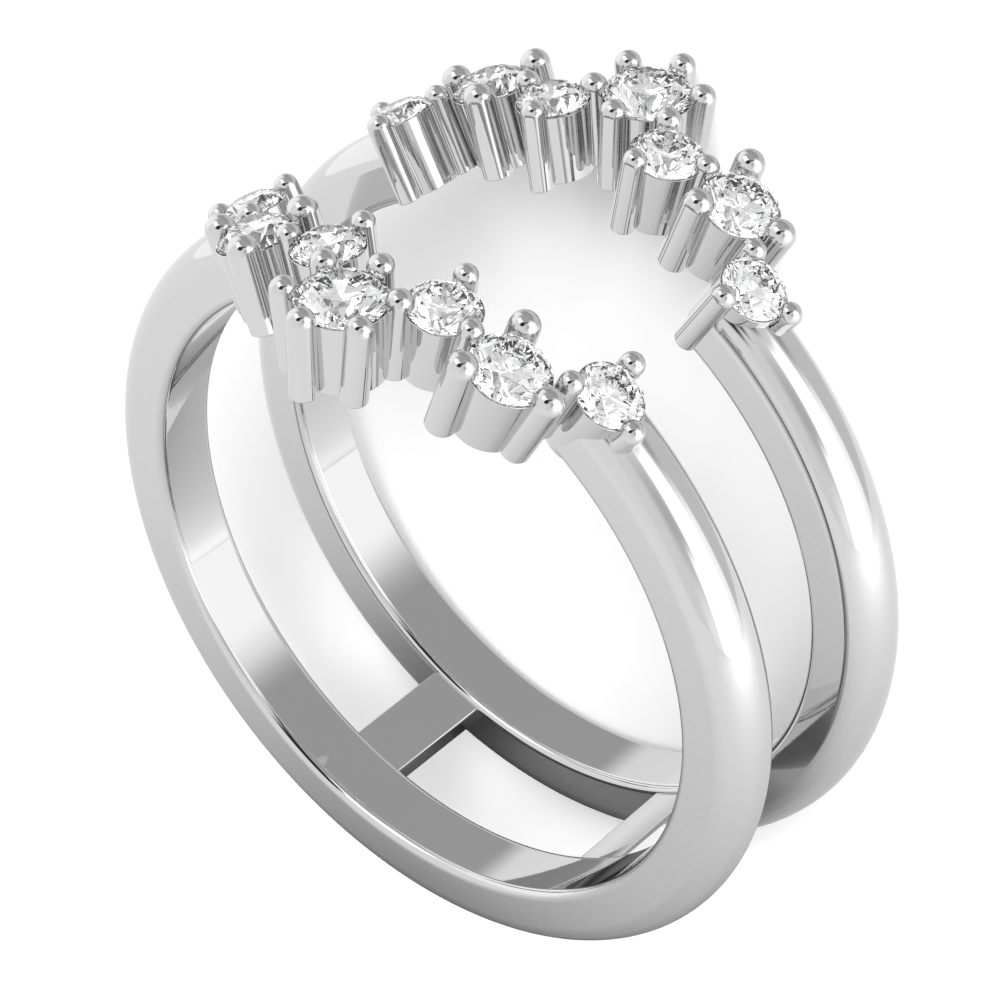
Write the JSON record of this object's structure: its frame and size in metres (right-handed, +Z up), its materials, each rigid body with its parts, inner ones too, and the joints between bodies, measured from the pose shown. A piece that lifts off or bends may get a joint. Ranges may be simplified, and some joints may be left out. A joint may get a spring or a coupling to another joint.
{
  "type": "finger ring guard",
  "caption": "Finger ring guard: parallel domed bands in polished white metal, joined at the base, each with a bowed row of prong-set round stones round a space for another ring.",
  "frame": {"origin": "middle of the ring's box in plan, on the surface that the ring lies on", "axes": "+Z up from that surface, close to the finger's axis; +Y towards the stones; +X right as seen from above with the stones at the far side. The ring leans by 11.6 degrees because it lies on its base and on the prong that sticks out furthest"},
  "size_m": [0.021, 0.0232, 0.0148],
  "materials": {
    "white_metal": "high polish, rhodium-white",
    "clear_stone": "cut and polished"
  },
  "bodies": {
    "root": {"ring_mount": "white_metal", "upper_centre_stone": "clear_stone", "upper_right_small_stone": "clear_stone", "upper_right_medium_stone": "clear_stone", "upper_right_end_stone": "clear_stone", "upper_left_small_stone": "clear_stone", "upper_left_medium_stone": "clear_stone", "upper_left_end_stone": "clear_stone", "lower_centre_stone": "clear_stone", "lower_right_small_stone": "clear_stone", "lower_right_medium_stone": "clear_stone", "lower_right_end_stone": "clear_stone", "lower_left_small_stone": "clear_stone", "lower_left_medium_stone": "clear_stone", "lower_left_end_stone": "clear_stone"}
  },
  "joints": []
}
